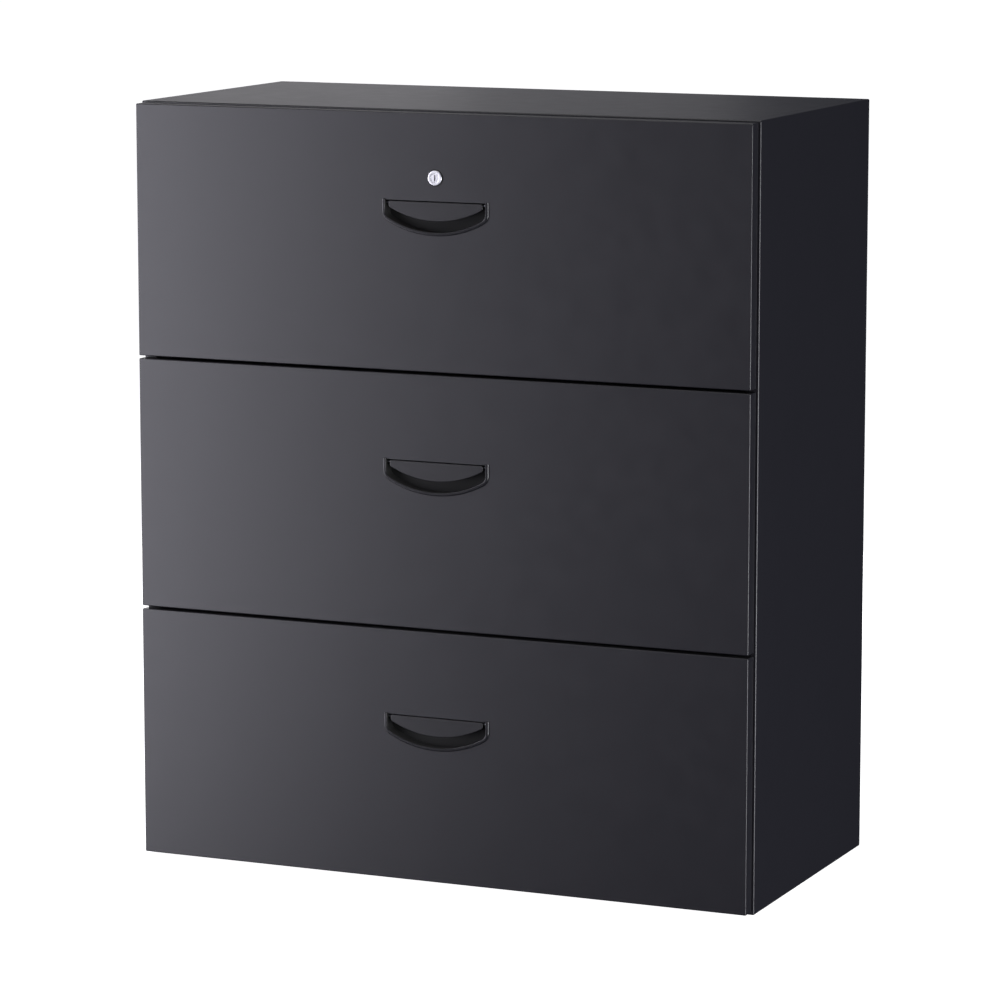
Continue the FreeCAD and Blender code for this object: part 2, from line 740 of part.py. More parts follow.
def handle_paddle(level_name, level):
    """The D-shaped flap: a plate flush with the front, with two barrels on the hinge pin."""
    body = new_body(f"handle_paddle_{level_name}")
    height = pull_top(level)
    shape = ("paddle_width", f"{SKETCH_RISE} + paddle_drop", f"{SKETCH_RISE} + paddle_reach",
             "paddle_arc")
    moon_plate(body, f"flap_{level_name}", height, shape, (FACE, f"{FACE} + paddle_thickness"))
    round_edges(body, f"flap_corners_{level_name}", "paddle_corner", lambda edge: runs_along(edge, "y"))
    face = value(FACE)
    round_edges(body, f"flap_round_{level_name}", "paddle_round", lambda edge: lies_at(edge, "y", face))
    pin_z = f"{height} - pin_drop"
    for name, side in SIDES.items():
        start = span(side, "barrel_inner", "barrel_outer")[0]
        add_cylinder(body, f"barrel_{level_name}_{name}", "x", "barrel_radius",
                     "barrel_outer - barrel_inner", (start, PIN_Y, pin_z))
        cut_cylinder(body, f"barrel_bore_{level_name}_{name}", "x", "pin_radius + pin_clearance",
                     "barrel_outer - barrel_inner + 2 * gauge", (f"{start} - gauge", PIN_Y, pin_z))
    node(body.Label, [body])


def paddle_pin(level_name, level):
    body = new_body(f"paddle_pin_{level_name}")
    add_cylinder(body, f"pin_{level_name}", "x", "pin_radius", PIN_LENGTH,
                 (f"-{PIN_LENGTH} / 2", PIN_Y, f"{pull_top(level)} - pin_drop"))
    node(body.Label, [body])


def latch_shaft(level_name, level):
    """A shaft across the inside of the front, with a hook at each end and a lever over the pull."""
    body = new_body(f"latch_shaft_{level_name}")
    middle = shaft_z(level)
    add_cylinder(body, f"shaft_{level_name}", "x", "shaft_radius", "2 * shaft_half_length",
                 ("-shaft_half_length", SHAFT_Y, middle))
    nose_end = f"{SHAFT_Y} + hook_reach"
    for name, side in SIDES.items():
        across = span(side, "hook_inner", "hook_inner + hook_thickness")
        add_box(body, f"hook_arm_{level_name}_{name}", across, (f"{SHAFT_Y} - hook_half_height", nose_end),
                around(middle, "hook_half_height"))
        add_box(body, f"hook_nose_{level_name}_{name}", across, (f"{nose_end} - nose_length", nose_end),
                (f"{middle} - nose_drop", middle))
    add_box(body, f"latch_lever_{level_name}", both_sides("lever_half_width"), around(SHAFT_Y, "gauge"),
            (f"{middle} - lever_drop", middle))
    node(body.Label, [body])


def latch_spring(level_name, level):
    """A torsion spring round the latch shaft, in wire, that turns the hooks down again."""
    coil = doc.addObject("Part::Helix", f"coil_path_{level_name}")
    bind(coil, "Pitch", "spring_pitch")
    bind(coil, "Height", "spring_pitch * spring_turns")
    bind(coil, "Radius", "spring_coil_radius")
    wire = doc.addObject("Part::Circle", f"wire_section_{level_name}")
    bind(wire, "Radius", "spring_wire_radius")
    bind(wire, "Placement.Base.x", "spring_coil_radius")
    wire.Placement = FreeCAD.Placement(wire.Placement.Base, FreeCAD.Rotation(FreeCAD.Vector(1, 0, 0), 90))
    spring = doc.addObject("Part::Sweep", f"latch_spring_{level_name}")
    spring.Label = spring.Name
    spring.Sections = [wire]
    spring.Spine = (coil, [])
    spring.Solid = True
    spring.Frenet = True
    spring.Placement = FreeCAD.Placement(FreeCAD.Vector(), AXIS_TURNS["x"])
    bind(spring, "Placement.Base.x", "spring_place")
    bind(spring, "Placement.Base.y", SHAFT_Y)
    bind(spring, "Placement.Base.z", shaft_z(level))
    node(spring.Label, [spring])


def strikes():
    """Blocks on the front uprights that the latch hooks drop behind."""
    blocks = []
    for name, side in SIDES.items():
        for level, level_name in enumerate(LEVELS):
            body = new_body(f"strike_{level_name}_{name}")
            nose_start = f"({SHAFT_Y} + hook_reach - nose_length)"
            top = f"{shaft_z(level)} - nose_drop - strike_gap"
            add_box(body, f"strike_block_{level_name}_{name}",
                    span(side, "hook_inner - strike_overhang", UPRIGHT_FACE),
                    (f"{nose_start} - gauge - strike_length", f"{nose_start} - gauge"),
                    (f"{top} - strike_height", top))
            blocks.append(body)
    node("strikes", blocks)


# ---------------------------------------------------------------- lock


def lock_housing():
    body = new_body("lock_housing")
    add_cylinder(body, "lock_bezel", "y", "bezel_radius", "bezel_height",
                 ("0", f"{FACE} - bezel_height", lock_z()))
    add_cylinder(body, "lock_barrel", "y", "lock_barrel_radius", "lock_barrel_depth", ("0", FACE, lock_z()))
    bezel_face = value(f"{FACE} - bezel_height")
    round_edges(body, "bezel_round_edge", "bezel_round", lambda edge: lies_at(edge, "y", bezel_face))
    cut_cylinder(body, "lock_bore", "y", "plug_radius + pin_clearance", "bezel_height + lock_barrel_depth",
                 ("0", f"{FACE} - bezel_height", lock_z()))
    node(body.Label, [body])


def lock_plug():
    body = new_body("lock_plug")
    near = f"({FACE} - bezel_height + plug_recess)"
    add_cylinder(body, "plug_blank", "y", "plug_radius",
                 "bezel_height - plug_recess + lock_barrel_depth + gauge", ("0", near, lock_z()))
    cut_box(body, "keyway", both_sides("keyway_width / 2"), (near, f"{near} + keyway_depth"),
            around(lock_z(), "keyway_height / 2"))
    node(body.Label, [body])


def lock_cam():
    """A plate on the back of the plug whose arm moves the lock rod."""
    body = new_body("lock_cam")
    near = f"({FACE} + lock_barrel_depth + gauge)"
    add_cylinder(body, "cam_disc", "y", "cam_radius", "cam_thickness", ("0", near, lock_z()))
    add_box(body, "cam_arm", both_sides("cam_radius / 2"), (near, f"{near} + cam_thickness"),
            (lock_z(), f"{lock_z()} + cam_reach"))
    node(body.Label, [body])


def lock_rod():
    """A flat rod from the lock to the right end of the front, with a tongue through the liner."""
    body = new_body("lock_rod")
    low = f"({lock_z()} + rod_lift)"
    high = (low, f"{low} + rod_height")
    add_box(body, "rod_flat", ("rod_start", "tongue_inner + tongue_width"),
            (ROD_Y, f"{ROD_Y} + rod_thickness"), high)
    add_box(body, "rod_tongue", ("tongue_inner", "tongue_inner + tongue_width"),
            (ROD_Y, f"{ROD_Y} + tongue_reach"), high)
    node(body.Label, [body])


def lock_bar():
    """A flat bar in the right side whose fingers rise in front of the latch hooks."""
    body = new_body("lock_bar")
    deep = (f"{CASE_FRONT} + bar_flat_setback", f"{CASE_FRONT} + bar_flat_setback + bar_flat_thickness")
    add_box(body, "bar_flat", ("bar_flat_inner", "bar_flat_inner + bar_flat_width"), deep,
            ("bar_end_gap", "case_height - bar_end_gap - lock_bar_travel"))
    for level, level_name in enumerate(LEVELS):
        low = f"({shaft_z(level)} - finger_drop)"
        add_box(body, f"finger_{level_name}", ("finger_inner", "bar_flat_inner + gauge"), deep,
                (low, f"{low} + finger_thickness"))
    node(body.Label, [body])


# ---------------------------------------------------------------- assembly

doc.recompute()
for side_name, side_sign in SIDES.items():
    side_panel(side_name, side_sign)
top_panel()
corner_plates()
bottom_panel()
back_panel()
uprights("front", FRONT_UPRIGHT)
uprights("rear", REAR_UPRIGHT)
slide_screws()
strikes()
lock_bar()
for level_number, level_title in enumerate(LEVELS):
    slides(level_title, level_number)
    drawer_front(level_title, level_number)
    front_liner(level_title, level_number)
    drawer_box(level_title, level_number)
    handle_housing(level_title, level_number)
    handle_paddle(level_title, level_number)
    paddle_pin(level_title, level_number)
    latch_shaft(level_title, level_number)
    latch_spring(level_title, level_number)
lock_housing()
lock_plug()
lock_cam()
lock_rod()
doc.recompute()

for item in doc.Objects:
    if "Invalid" in item.State or "Error" in item.State:
        raise RuntimeError(f"{item.Name} failed: {item.State}")
for piece in pieces:
    if piece.Shape.isNull() or not piece.Shape.isValid():
        raise RuntimeError(f"{piece.Label} has no valid shape")

os.makedirs("parts", exist_ok=True)
for piece in pieces:
    piece.Shape.exportStep(f"parts/{piece.Label}.step")
print(len(pieces), "sub-parts written")
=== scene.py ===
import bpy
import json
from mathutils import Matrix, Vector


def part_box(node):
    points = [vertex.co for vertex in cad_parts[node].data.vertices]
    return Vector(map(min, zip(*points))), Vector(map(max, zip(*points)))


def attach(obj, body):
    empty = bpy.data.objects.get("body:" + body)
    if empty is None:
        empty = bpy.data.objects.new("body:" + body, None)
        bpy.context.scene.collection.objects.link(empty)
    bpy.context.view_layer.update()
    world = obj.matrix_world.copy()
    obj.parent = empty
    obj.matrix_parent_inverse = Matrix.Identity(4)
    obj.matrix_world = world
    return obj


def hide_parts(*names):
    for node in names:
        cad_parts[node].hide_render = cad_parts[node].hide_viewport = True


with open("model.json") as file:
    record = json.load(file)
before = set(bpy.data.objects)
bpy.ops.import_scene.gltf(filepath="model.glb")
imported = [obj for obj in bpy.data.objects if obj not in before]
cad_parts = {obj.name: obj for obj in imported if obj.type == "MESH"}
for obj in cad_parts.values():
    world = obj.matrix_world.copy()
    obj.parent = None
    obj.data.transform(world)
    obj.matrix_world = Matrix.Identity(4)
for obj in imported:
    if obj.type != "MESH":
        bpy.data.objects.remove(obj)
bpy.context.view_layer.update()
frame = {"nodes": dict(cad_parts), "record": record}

import json
import math

import bpy
from mathutils import Vector

# A three-drawer lateral filing cabinet in painted sheet steel, with moulded half-moon pulls and a
# cylinder lock. Metres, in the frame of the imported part: X right, Y back, Z up, floor at Z = 0.

MM = 0.001
LEVELS = ("lower", "middle", "upper")
NEAR = 0.01 * MM

# Recessed pull
PULL_SIDE = 25.2 * MM
PULL_CORNER = 8 * MM
CORNER_ROOM = 11.5 * MM
RIM_WIDTH = 4.5 * MM
RIM_HEIGHT = 2 * MM
RIM_ROUND = 1.9 * MM
RIM_INNER_ROUND = 1.4 * MM
RIM_ROUND_STEPS = 6
RIM_INNER_ROUND_STEPS = 5
PULL_CORNER_STEPS = 12
CUP_WALL = 1.2 * MM
MOUTH_DEPTH = 3 * MM
MOUTH_RISE = 6 * MM
CUP_TOP_DROP = 1 * MM
CUP_TOP_WALL = 0.84 * MM
CUP_TOP_ROUND_STEPS = 3
ARC_STEPS = 360

# Paddle
PADDLE_ARC = 141.6 * MM
PADDLE_THICKNESS = 3 * MM
PADDLE_CORNER = 2 * MM
PADDLE_CORNER_STEPS = 5
PADDLE_ROUND = 1.6 * MM
PADDLE_ROUND_STEPS = 6
BARREL_RADIUS = 2.3 * MM
BARREL_INNER = 50 * MM
BARREL_OUTER = 64 * MM
BARREL_STEPS = 32
CHAMFER_STEPS = 2

# Lock
LOCK_STEPS = 96
BEZEL_HEIGHT = 2 * MM
# A thin black ring round the bezel stands in for its shadow: painted shade.
SHADOW_RING_WIDTH = 1.2 * MM
SHADOW_RING_HEIGHT = 0.5 * MM
SHADOW_RING_ROUND_STEPS = 3
BEZEL_ROUND = 0.8 * MM
BEZEL_ROUND_STEPS = 6
BARREL_STEP = 1 * MM
BORE_RADIUS = 6.05 * MM
BORE_DEPTH = 13.6 * MM
BORE_CHAMFER = 0.35 * MM
PLUG_RADIUS = 6 * MM
PLUG_LENGTH = 13 * MM
PLUG_CHAMFER = 0.3 * MM
KEYWAY_WIDTH = 1.6 * MM
KEYWAY_HEIGHT = 8 * MM
KEYWAY_DEPTH = 8 * MM
SQUARE_ON = 0.9

# Sheets
SMOOTH_ANGLE = math.radians(30)
FLAT_ANGLE = math.radians(0.5)

# Studio
FLOOR_SIZE = 60
LENS = 159.84
SENSOR_WIDTH = 36
CAMERA_PLACE = (2.4303, -5.5608, 1.4859)
CAMERA_TILT = math.pi / 2 - 0.1615
CAMERA_TURN = 0.4127
DAYLIGHT = (1.0, 0.985, 1.09)
WARM_DAYLIGHT = (1.0, 0.975, 1.0)
COOL_DAYLIGHT = (0.98, 0.985, 1.04)
WHITE = (1, 1, 1)


# ---------------------------------------------------------------- working on a mesh


def select_only(piece):
    bpy.ops.object.select_all(action="DESELECT")
    piece.select_set(True)
    bpy.context.view_layer.objects.active = piece


def start_edit(piece, kind, wanted):
    """Go into edit mode with only the wanted vertices, edges or faces selected."""
    select_only(piece)
    mesh = piece.data
    for parts in (mesh.vertices, mesh.edges, mesh.polygons):
        parts.foreach_set("select", [False] * len(parts))
    parts = {"VERT": mesh.vertices, "EDGE": mesh.edges, "FACE": mesh.polygons}[kind]
    for part in parts:
        part.select = wanted(part)
    bpy.context.tool_settings.mesh_select_mode = (kind == "VERT", kind == "EDGE", kind == "FACE")
    bpy.ops.object.mode_set(mode="EDIT")


def end_edit():
    bpy.ops.object.mode_set(mode="OBJECT")


def everything(part):
    return True


def facing_front_at(front):
    """A test for the faces that lie at one place from front to back."""
    return lambda face: abs(face.center.y - front) < NEAR


def ends(piece, edge):
    return [piece.data.vertices[index].co for index in edge.vertices]


def edges_at(piece, axis, place, but_not=None):
    """A test for the edges that lie at one place along an axis, leaving out those but_not names."""

    def wanted(edge):
        points = ends(piece, edge)
        lies = all(abs(point[axis] - place) < NEAR for point in points)
        return lies and not (but_not and but_not(points))

    return wanted


def push(move):
    bpy.ops.mesh.extrude_region_move(TRANSFORM_OT_translate={"value": move})


def cut_off(point, direction, fill):
    """Cut everything selected by a plane and throw away the side it faces."""
    bpy.ops.mesh.select_all(action="SELECT")
    bpy.ops.mesh.bisect(plane_co=point, plane_no=direction, clear_outer=True, use_fill=fill)


def bevel(piece, kind, wanted, width, steps):
    start_edit(piece, kind, wanted)
    affect = "VERTICES" if kind == "VERT" else "EDGES"
    bpy.ops.mesh.bevel(offset=width, segments=steps, affect=affect, clamp_overlap=True)
    end_edit()


def face_outwards(piece):
    start_edit(piece, "FACE", everything)
    bpy.ops.mesh.remove_doubles(threshold=NEAR)
    bpy.ops.mesh.normals_make_consistent(inside=False)
    end_edit()


def shade_smooth(piece):
    select_only(piece)
    bpy.ops.object.shade_smooth_by_angle(angle=SMOOTH_ANGLE)
    weighted = piece.modifiers.new("weighted normals", "WEIGHTED_NORMAL")
    weighted.keep_sharp = True
    bpy.ops.object.modifier_apply(modifier=weighted.name)


def join(name, pieces):
    bpy.ops.object.select_all(action="DESELECT")
    for piece in pieces:
        piece.select_set(True)
    bpy.context.view_layer.objects.active = pieces[0]
    bpy.ops.object.join()
    pieces[0].name = name
    return pieces[0]


def copy_piece(source, name, rise):
    """A copy with its own mesh, moved up or down inside that mesh."""
    select_only(source)
    bpy.ops.object.duplicate()
    piece = bpy.context.object
    piece.name = name
    bpy.ops.transform.translate(value=(0, 0, rise))
    bpy.ops.object.transform_apply(location=True, rotation=True, scale=True)
    return piece


def stand_in(piece, node):
    """The piece is shown in place of the CAD node, on that node's body."""
    body = next(name for name,
                nodes in frame["record"]["behaviour"]["bodies"].items() if node in nodes)
    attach(piece, body)
    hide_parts(node)


# ---------------------------------------------------------------- building node trees


def connect(tree, socket, value):
    """Link a socket to another one, or set it to a plain value."""
    if isinstance(value, bpy.types.NodeSocket):
        tree.links.new(value, socket)
    else:
        socket.default_value = value


def put(tree, kind, inputs=None, **settings):
    """Add a node, with its settings and the values or links of its inputs."""
    node = tree.nodes.new(kind)
    for name, value in settings.items():
        setattr(node, name, value)
    for name, value in (inputs or {}).items():
        connect(tree, node.inputs[name], value)
    return node


def new_group(name, inputs, outputs):
    group = bpy.data.node_groups.new(name, "ShaderNodeTree")
    for label, kind, default in inputs:
        socket = group.interface.new_socket(name=label, in_out="INPUT",
                                            socket_type=f"NodeSocket{kind}")
        socket.default_value = default
    for label, kind in outputs:
        group.interface.new_socket(name=label, in_out="OUTPUT", socket_type=f"NodeSocket{kind}")
    start = put(group, "NodeGroupInput").outputs
    end = put(group, "NodeGroupOutput")
    return group, start, end


def give(group, end, **results):
    for label, socket in results.items():
        group.links.new(socket, end.inputs[label.replace("_", " ")])


def noise(tree, position, scale, detail=3.0, roughness=0.5):
    return put(tree, "ShaderNodeTexNoise", {"Vector": position, "Scale": scale, "Detail": detail,
                                            "Roughness": roughness}).outputs["Fac"]


def spread(tree, value, from_low, from_high, to_low, to_high):
    """Map a value from one range to another, and hold it inside the new range."""
    return put(tree, "ShaderNodeMapRange",
               {"Value": value, "From Min": from_low, "From Max": from_high, "To Min": to_low,
                "To Max": to_high}).outputs["Result"]


def math_of(tree, operation, first, second):
    node = put(tree, "ShaderNodeMath", operation=operation)
    for socket, value in zip(node.inputs, (first, second)):
        connect(tree, socket, value)
    return node.outputs[0]


def mix_colour(tree, share, first, second):
    node = put(tree, "ShaderNodeMix", data_type="RGBA")
    for index, value in ((0, share), (6, first), (7, second)):
        connect(tree, node.inputs[index], value)
    return node.outputs[2]


def own_position(tree):
    return put(tree, "ShaderNodeTexCoord").outputs["Object"]


def uneven_coat():
    """Slow changes in tone and gloss over a coated or moulded surface."""
    group, start, end = new_group(
        "uneven coat",
        [("Colour", "Color", (0.02, 0.02, 0.02, 1)), ("Roughness", "Float", 0.4),
         ("Tone Change", "Float", 0.15), ("Gloss Change", "Float", 0.05),
         ("Patch Scale", "Float", 9.0)],
        [("Colour", "Color"), ("Roughness", "Float")])
    position = own_position(group)
    broad = noise(group, position, start["Patch Scale"], detail=4.0)
    fine_scale = math_of(group, "MULTIPLY", start["Patch Scale"], 5.3)
    smudges = noise(group, position, fine_scale, detail=5.0)
    mostly_broad = math_of(group, "MULTIPLY", broad, 0.6)
    blend = math_of(group, "ADD", mostly_broad, math_of(group, "MULTIPLY", smudges, 0.4))
    tone_swing = math_of(group, "MULTIPLY", math_of(group, "SUBTRACT", blend, 0.5), 2.0)
    factor = math_of(group, "ADD", 1.0,
                     math_of(group, "MULTIPLY", tone_swing, start["Tone Change"]))
    toned = put(group, "ShaderNodeVectorMath", {0: start["Colour"], "Scale": factor},
                operation="SCALE")
    gloss_swing = math_of(group, "MULTIPLY", math_of(group, "SUBTRACT", smudges, 0.5), 2.0)
    gloss = math_of(group, "ADD", start["Roughness"],
                    math_of(group, "MULTIPLY", gloss_swing, start["Gloss Change"]))
    give(group, end, Colour=toned.outputs[0], Roughness=gloss)
    return group


def pebbled_skin():
    """Fine relief: the orange peel of baked paint, or the spark-eroded skin of a moulding."""
    group, start, end = new_group(
        "pebbled skin",
        [("Pebble Size", "Float", 1.2 * MM), ("Depth", "Float", 0.02 * MM),
         ("Strength", "Float", 0.5), ("Sheet Wave", "Float", 0.1 * MM)],
        [("Normal", "Vector")])
    position = own_position(group)
    pebbles = noise(group, position, math_of(group, "DIVIDE", 1.0, start["Pebble Size"]),
                    detail=2.0)
    waves = noise(group, position, 5.0, detail=1.0)
    wave = put(group, "ShaderNodeBump", {"Height": waves, "Distance": start["Sheet Wave"],
                                         "Strength": 1.0})
    relief = put(group, "ShaderNodeBump", {"Height": pebbles, "Distance": start["Depth"],
                                           "Strength": start["Strength"],
                                           "Normal": wave.outputs[0]})
    give(group, end, Normal=relief.outputs[0])
    return group


def settled_dust():
    """A thin pale film on what faces up."""
    group, start, end = new_group(
        "settled dust",
        [("Colour", "Color", (0.02, 0.02, 0.02, 1)), ("Roughness", "Float", 0.4),
         ("Amount", "Float", 0.1)],
        [("Colour", "Color"), ("Roughness", "Float")])
    normal = put(group, "ShaderNodeNewGeometry").outputs["Normal"]
    up = put(group, "ShaderNodeSeparateXYZ", {0: normal}).outputs["Z"]
    facing = spread(group, up, 0.7, 1.0, 0.0, 1.0)
    position = own_position(group)
    cloud = spread(group, noise(group, position, 6.0, detail=6.0, roughness=0.65),
                   0.35, 0.75, 0.35, 1.0)
    specks = spread(group, noise(group, position, 700.0, detail=1.0), 0.62, 0.75, 0.0, 0.6)
    film = math_of(group, "MULTIPLY", math_of(group, "ADD", cloud, specks),
                   math_of(group, "MULTIPLY", facing, start["Amount"]))
    give(group, end, Colour=mix_colour(group, film, start["Colour"], (0.30, 0.29, 0.27, 1)),
         Roughness=math_of(group, "ADD", start["Roughness"], math_of(group, "MULTIPLY", film, 0.6)))
    return group


def painted_edge_highlights():
    """Edges and corners painted lighter in uneven patches: a painted edge highlight."""
    group, start, end = new_group(
        "painted edge highlights",
        [("Colour", "Color", (0.02, 0.02, 0.02, 1)), ("Rubbed Colour", "Color", (0.1, 0.1, 0.1, 1)),
         ("Reach", "Float", 1.0 * MM), ("Amount", "Float", 0.5)],
        [("Colour", "Color")])
    # Where the bevelled normal leaves the true normal, a lighter colour is mixed in: the painted edge
    # highlight.
    soft = put(group, "ShaderNodeBevel", {"Radius": start["Reach"]}, samples=4).outputs[0]
    true = put(group, "ShaderNodeNewGeometry").outputs["Normal"]
    facing = put(group, "ShaderNodeVectorMath", {0: soft, 1: true},
                 operation="DOT_PRODUCT").outputs["Value"]
    edge = spread(group, facing, 1.0, 0.8, 0.0, 1.0)
    patches = spread(group, noise(group, own_position(group), 40.0, detail=5.0),
                     0.35, 0.65, 0.3, 1.0)
    mask = math_of(group, "MULTIPLY", edge, math_of(group, "MULTIPLY", patches, start["Amount"]))
    give(group, end, Colour=mix_colour(group, mask, start["Colour"], start["Rubbed Colour"]))
    return group


def hairline_scratches():
    """Long thin marks from use, as a mask between 0 and 1."""
    group, start, end = new_group(
        "hairline scratches",
        [("Stretch", "Vector", (30.0, 30.0, 600.0)), ("Amount", "Float", 0.3)],
        [("Mask", "Float")])
    position = put(group, "ShaderNodeVectorMath", {0: own_position(group), 1: start["Stretch"]},
                   operation="MULTIPLY").outputs[0]
    lines = spread(group, noise(group, position, 1.0, detail=3.0, roughness=0.7),
                   0.60, 0.72, 0.0, 1.0)
    gaps = spread(group, noise(group, own_position(group), 14.0, detail=2.0), 0.45, 0.6, 0.0, 1.0)
    broken = math_of(group, "MULTIPLY", lines, gaps)
    give(group, end, Mask=math_of(group, "MULTIPLY", broken, start["Amount"]))
    return group


EFFECTS = {build.__name__: build() for build in (
    uneven_coat, pebbled_skin, settled_dust, painted_edge_highlights, hairline_scratches)}


def effect(tree, name, **inputs):
    node = put(tree, "ShaderNodeGroup", node_tree=EFFECTS[name])
    for label, value in inputs.items():
        connect(tree, node.inputs[label.replace("_", " ")], value)
    return node.outputs


def new_material(name):
    material = bpy.data.materials.new(name)
    material.use_nodes = True
    tree = material.node_tree
    return material, tree, tree.nodes["Principled BSDF"]


def feed(tree, shader, **sockets):
    for label, socket in sockets.items():
        tree.links.new(socket, shader.inputs[label.replace("_", " ")])


def case_paint():
    """Satin black baked paint on the case and the drawer fronts."""
    material, tree, shader = new_material("case paint")
    coat = effect(tree, "uneven_coat", Colour=(0.0066, 0.0063, 0.0084, 1), Roughness=0.37,
                  Tone_Change=0.12, Gloss_Change=0.03, Patch_Scale=7.0)
    # Painted edge highlight: a lighter grey mixed in along the edges and corners.
    edge_lit = effect(tree, "painted_edge_highlights", Colour=coat["Colour"],
                    Rubbed_Colour=(0.075, 0.075, 0.085, 1), Reach=1.2 * MM, Amount=0.5)
    dust = effect(tree, "settled_dust", Colour=edge_lit["Colour"], Roughness=coat["Roughness"],
                  Amount=0.06)
    skin = effect(tree, "pebbled_skin", Pebble_Size=1.3 * MM, Depth=0.02 * MM, Strength=0.5,
                  Sheet_Wave=0.25 * MM)
    feed(tree, shader, Base_Color=dust["Colour"], Roughness=dust["Roughness"],
         Normal=skin["Normal"])
    return material


def drawer_paint():
    """The same paint inside the drawers, a little flatter and scuffed by folders."""
    material, tree, shader = new_material("drawer paint")
    coat = effect(tree, "uneven_coat", Colour=(0.034, 0.033, 0.036, 1), Roughness=0.5,
                  Tone_Change=0.2, Gloss_Change=0.06, Patch_Scale=11.0)
    scratches = effect(tree, "hairline_scratches", Stretch=(18.0, 18.0, 420.0), Amount=0.35)
    scuffed = mix_colour(tree, scratches["Mask"], coat["Colour"], (0.06, 0.06, 0.062, 1))
    # Painted edge highlight: a lighter grey mixed in along the edges and corners.
    edge_lit = effect(tree, "painted_edge_highlights", Colour=scuffed, Rubbed_Colour=(0.11, 0.11, 0.115, 1),
                    Reach=0.8 * MM, Amount=0.6)
    dust = effect(tree, "settled_dust", Colour=edge_lit["Colour"], Roughness=coat["Roughness"],
                  Amount=0.05)
    skin = effect(tree, "pebbled_skin", Pebble_Size=1.6 * MM, Depth=0.025 * MM, Strength=0.6,
                  Sheet_Wave=0.3 * MM)
    feed(tree, shader, Base_Color=dust["Colour"], Roughness=dust["Roughness"],
         Normal=skin["Normal"])
    return material


def zinc_steel():
    """Bright zinc plate on rolled steel: faint spangle, rolling lines and painted edge highlights."""
    material, tree, shader = new_material("zinc steel")
    position = own_position(tree)
    spangle = put(tree, "ShaderNodeTexVoronoi", {"Vector": position, "Scale": 160.0})
    tone = put(tree, "ShaderNodeSeparateXYZ", {0: spangle.outputs["Color"]}).outputs["X"]
    crystals = mix_colour(tree, tone, (0.50, 0.51, 0.53, 1), (0.62, 0.63, 0.64, 1))
    coat = effect(tree, "uneven_coat", Colour=crystals, Roughness=0.42, Tone_Change=0.12,
                  Gloss_Change=0.08, Patch_Scale=16.0)
    rolling = effect(tree, "hairline_scratches", Stretch=(900.0, 25.0, 900.0), Amount=0.5)
    # Painted edge highlight: a near-white grey mixed in along the edges and corners.
    edge_lit = effect(tree, "painted_edge_highlights", Colour=coat["Colour"],
                    Rubbed_Colour=(0.78, 0.78, 0.78, 1), Reach=0.5 * MM, Amount=0.6)
    worn = mix_colour(tree, rolling["Mask"], edge_lit["Colour"], (0.36, 0.36, 0.37, 1))
    skin = effect(tree, "pebbled_skin", Pebble_Size=0.8 * MM, Depth=0.006 * MM, Strength=0.5,
                  Sheet_Wave=0.02 * MM)
    shader.inputs["Metallic"].default_value = 1.0
    feed(tree, shader, Base_Color=worn, Roughness=coat["Roughness"], Normal=skin["Normal"])
    return material


def moulded_plastic(name, roughness):
    """Black moulded plastic with a fine spark-eroded skin."""
    material, tree, shader = new_material(name)
    coat = effect(tree, "uneven_coat", Colour=(0.0085, 0.0082, 0.0095, 1), Roughness=roughness,
                  Tone_Change=0.10, Gloss_Change=0.05, Patch_Scale=35.0)
    # Painted edge highlight: a lighter grey mixed in along the edges and corners.
    edge_lit = effect(tree, "painted_edge_highlights", Colour=coat["Colour"],
                    Rubbed_Colour=(0.05, 0.05, 0.052, 1), Reach=0.6 * MM, Amount=0.5)
    dust = effect(tree, "settled_dust", Colour=edge_lit["Colour"], Roughness=coat["Roughness"],
                  Amount=0.05)
    skin = effect(tree, "pebbled_skin", Pebble_Size=0.35 * MM, Depth=0.012 * MM, Strength=0.6,
                  Sheet_Wave=0.01 * MM)
    feed(tree, shader, Base_Color=dust["Colour"], Roughness=dust["Roughness"],
         Normal=skin["Normal"])
    return material


def pull_plastic():
    return moulded_plastic("pull plastic", 0.33)


def rim_plastic():
    """The pull's plastic, worn glossier on the rim by fingers."""
    return moulded_plastic("rim plastic", 0.25)


def cup_inside():
    """The inside of the pull's cup: the same plastic with a coarse matt skin, its colour lifted above
    the rim's as painted fill light in the shaded cup.
    """
    material, tree, shader = new_material("cup inside")
    # Colour lighter than the rim plastic's: painted fill light for the shaded cup.
    coat = effect(tree, "uneven_coat", Colour=(0.013, 0.013, 0.0125, 1), Roughness=0.72,
                  Tone_Change=0.15, Gloss_Change=0.05, Patch_Scale=40.0)
    dust = effect(tree, "settled_dust", Colour=coat["Colour"], Roughness=coat["Roughness"],
                  Amount=0.04)
    skin = effect(tree, "pebbled_skin", Pebble_Size=0.6 * MM, Depth=0.06 * MM, Strength=0.9,
                  Sheet_Wave=0.01 * MM)
    shader.inputs["Specular IOR Level"].default_value = 0.2
    feed(tree, shader, Base_Color=dust["Colour"], Roughness=dust["Roughness"],
         Normal=skin["Normal"])
    return material


